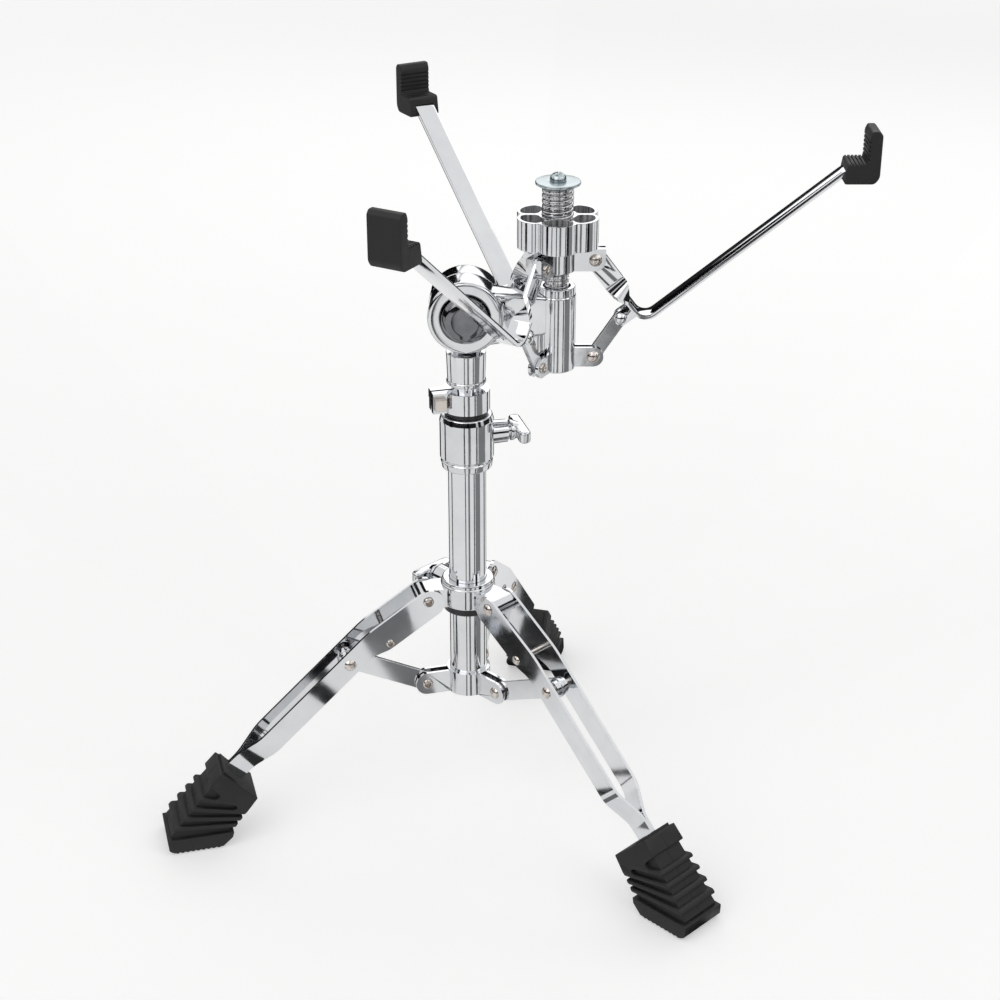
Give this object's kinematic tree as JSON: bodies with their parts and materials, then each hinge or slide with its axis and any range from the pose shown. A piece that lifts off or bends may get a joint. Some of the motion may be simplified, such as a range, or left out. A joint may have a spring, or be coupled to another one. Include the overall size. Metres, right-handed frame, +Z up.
{
  "type": "snare drum stand",
  "caption": "Folding tripod stand with a height tube, a tilter and a basket of rubber-tipped arms that grips a snare drum.",
  "frame": {"origin": "point on the floor under the axis of the base tube", "axes": "+Z up along the tubes, +X from the tubes towards the basket, +Y to the rear, away from the picture's viewer"},
  "size_m": [0.4702, 0.3912, 0.4895],
  "materials": {
    "bright_chrome": "bright chrome plate on rolled steel",
    "cast_chrome": "bright chrome plate on a casting",
    "rivet_steel": "nickel-plated steel",
    "zinc_steel": "clear zinc plate",
    "black_rubber": "matte moulded rubber",
    "black_nylon": "moulded nylon",
    "dark_chrome": "dark bright plate"
  },
  "bodies": {
    "base": {"base_tube": "bright_chrome", "leg_spider": "bright_chrome", "spider_rivets": "rivet_steel", "height_clamp": "cast_chrome", "height_bushing": "black_nylon"},
    "leg_collar": {"leg_collar": "cast_chrome", "collar_ring": "black_nylon", "leg_collar_rivets": "rivet_steel"},
    "leg_wing": {"leg_wing_bolt": "cast_chrome"},
    "height_wing": {"height_wing_bolt": "cast_chrome"},
    "leg_1": {"leg_1_left_bar": "bright_chrome", "leg_1_right_bar": "bright_chrome", "leg_1_rivets": "rivet_steel", "leg_1_foot": "black_rubber"},
    "link_1": {"link_1": "bright_chrome"},
    "leg_2": {"leg_2_left_bar": "bright_chrome", "leg_2_right_bar": "bright_chrome", "leg_2_rivets": "rivet_steel", "leg_2_foot": "black_rubber"},
    "link_2": {"link_2": "bright_chrome"},
    "leg_3": {"leg_3_left_bar": "bright_chrome", "leg_3_right_bar": "bright_chrome", "leg_3_rivets": "rivet_steel", "leg_3_foot": "black_rubber"},
    "link_3": {"link_3": "bright_chrome"},
    "memory_lock": {"memory_lock": "cast_chrome", "memory_lock_screw": "rivet_steel"},
    "upper": {"upper_tube": "bright_chrome", "tube_end_plug": "black_nylon", "tilter_rear": "cast_chrome", "tilter_bolt": "rivet_steel", "tilter_washer": "zinc_steel"},
    "tilter_wing": {"tilter_wing_nut": "cast_chrome"},
    "basket": {"tilter_front": "cast_chrome", "tilter_cap": "dark_chrome", "basket_hub": "cast_chrome", "strut_rivets": "rivet_steel", "basket_post": "zinc_steel", "post_washer": "zinc_steel", "post_screw": "zinc_steel"},
    "basket_collar": {"basket_collar": "cast_chrome", "arm_rivets": "rivet_steel"},
    "basket_nut": {"basket_nut": "cast_chrome"},
    "arm_1": {"arm_1": "bright_chrome", "arm_1_lug": "bright_chrome", "arm_1_grip": "black_rubber"},
    "strut_1": {"strut_1": "bright_chrome"},
    "arm_2": {"arm_2": "bright_chrome", "arm_2_lug": "bright_chrome", "arm_2_grip": "black_rubber"},
    "strut_2": {"strut_2": "bright_chrome"},
    "arm_3": {"arm_3": "bright_chrome", "arm_3_lug": "bright_chrome", "arm_3_grip": "black_rubber"},
    "strut_3": {"strut_3": "bright_chrome"}
  },
  "joints": [
    {"name": "leg_collar_slide", "type": "slide", "parent": "base", "child": "leg_collar", "axis": [0, 0, 1], "range_m": [0, 0.06]},
    {"name": "leg_1_fold", "type": "hinge", "parent": "leg_collar", "child": "leg_1", "pos_m": [0.02121, -0.02121, 0.168], "axis": [0.7071, 0.7071, 0], "range_deg": [-0.5, 44]},
    {"name": "link_1_fold", "type": "hinge", "parent": "base", "child": "link_1", "pos_m": [0.02121, -0.02121, 0.1], "axis": [-0.7071, -0.7071, 0], "range_deg": [-0.5, 54]},
    {"name": "leg_2_fold", "type": "hinge", "parent": "leg_collar", "child": "leg_2", "pos_m": [0.00777, 0.02898, 0.168], "axis": [-0.9659, 0.2588, 0], "range_deg": [-0.5, 44]},
    {"name": "link_2_fold", "type": "hinge", "parent": "base", "child": "link_2", "pos_m": [0.00777, 0.02898, 0.1], "axis": [0.9659, -0.2588, 0], "range_deg": [-0.5, 54]},
    {"name": "leg_3_fold", "type": "hinge", "parent": "leg_collar", "child": "leg_3", "pos_m": [-0.02898, -0.00777, 0.168], "axis": [0.2588, -0.9659, 0], "range_deg": [-0.5, 44]},
    {"name": "link_3_fold", "type": "hinge", "parent": "base", "child": "link_3", "pos_m": [-0.02898, -0.00777, 0.1], "axis": [-0.2588, 0.9659, 0], "range_deg": [-0.5, 54]},
    {"name": "leg_wing_turn", "type": "hinge", "parent": "leg_collar", "child": "leg_wing", "pos_m": [-0.02051, 0.02051, 0.169], "axis": [-0.7071, 0.7071, 0], "continuous": true},
    {"name": "height_wing_turn", "type": "hinge", "parent": "base", "child": "height_wing", "pos_m": [0.02801, 0.00751, 0.284], "axis": [0.9659, 0.2588, 0], "continuous": true},
    {"name": "height_slide", "type": "slide", "parent": "base", "child": "memory_lock", "axis": [0, 0, 1], "range_m": [0, 0.12]},
    {"name": "swivel", "type": "hinge", "parent": "memory_lock", "child": "upper", "pos_m": [0, 0, 0.33], "axis": [0, 0, 1], "continuous": true},
    {"name": "tilt", "type": "hinge", "parent": "upper", "child": "basket", "pos_m": [0, 0, 0.372], "axis": [0, 1, 0], "range_deg": [-90, 20]},
    {"name": "tilter_wing_turn", "type": "hinge", "parent": "upper", "child": "tilter_wing", "pos_m": [0, 0.022, 0.372], "axis": [0, 1, 0], "continuous": true},
    {"name": "nut_turn", "type": "hinge", "parent": "basket_collar", "child": "basket_nut", "pos_m": [0.058, 0, 0.416], "axis": [0, 0, 1], "range_deg": [-1084, 504]},
    {"name": "basket_collar_slide", "type": "slide", "parent": "basket", "child": "basket_collar", "axis": [0, 0, 1], "range_m": [-0.0105, 0.00486]},
    {"name": "arm_1_swing", "type": "hinge", "parent": "basket_collar", "child": "arm_1", "pos_m": [0.082, 0, 0.406], "axis": [0, 1, 0], "range_deg": [-18, 10]},
    {"name": "strut_1_swing", "type": "hinge", "parent": "basket", "child": "strut_1", "pos_m": [0.082, 0, 0.34], "axis": [0, -1, 0], "range_deg": [-22, 12]},
    {"name": "arm_2_swing", "type": "hinge", "parent": "basket_collar", "child": "arm_2", "pos_m": [0.046, 0.02079, 0.406], "axis": [-0.866, -0.5, 0], "range_deg": [-18, 10]},
    {"name": "strut_2_swing", "type": "hinge", "parent": "basket", "child": "strut_2", "pos_m": [0.046, 0.02079, 0.34], "axis": [0.866, 0.5, 0], "range_deg": [-22, 12]},
    {"name": "arm_3_swing", "type": "hinge", "parent": "basket_collar", "child": "arm_3", "pos_m": [0.046, -0.02079, 0.406], "axis": [0.866, -0.5, 0], "range_deg": [-18, 10]},
    {"name": "strut_3_swing", "type": "hinge", "parent": "basket", "child": "strut_3", "pos_m": [0.046, -0.02079, 0.34], "axis": [-0.866, 0.5, 0], "range_deg": [-22, 12]}
  ],
  "couplings": [
    {"joint": "leg_1_fold", "follows": "leg_collar_slide", "rad_per_m": 12.715},
    {"joint": "link_1_fold", "follows": "leg_collar_slide", "rad_per_m": 15.558},
    {"joint": "leg_2_fold", "follows": "leg_collar_slide", "rad_per_m": 12.715},
    {"joint": "link_2_fold", "follows": "leg_collar_slide", "rad_per_m": 15.558},
    {"joint": "leg_3_fold", "follows": "leg_collar_slide", "rad_per_m": 12.715},
    {"joint": "link_3_fold", "follows": "leg_collar_slide", "rad_per_m": 15.558},
    {"joint": "nut_turn", "follows": "basket_collar_slide", "rad_per_m": 1795.2},
    {"joint": "arm_1_swing", "follows": "basket_collar_slide", "rad_per_m": 20.5},
    {"joint": "strut_1_swing", "follows": "basket_collar_slide", "rad_per_m": 30.5},
    {"joint": "arm_2_swing", "follows": "basket_collar_slide", "rad_per_m": 20.5},
    {"joint": "strut_2_swing", "follows": "basket_collar_slide", "rad_per_m": 30.5},
    {"joint": "arm_3_swing", "follows": "basket_collar_slide", "rad_per_m": 20.5},
    {"joint": "strut_3_swing", "follows": "basket_collar_slide", "rad_per_m": 30.5}
  ]
}
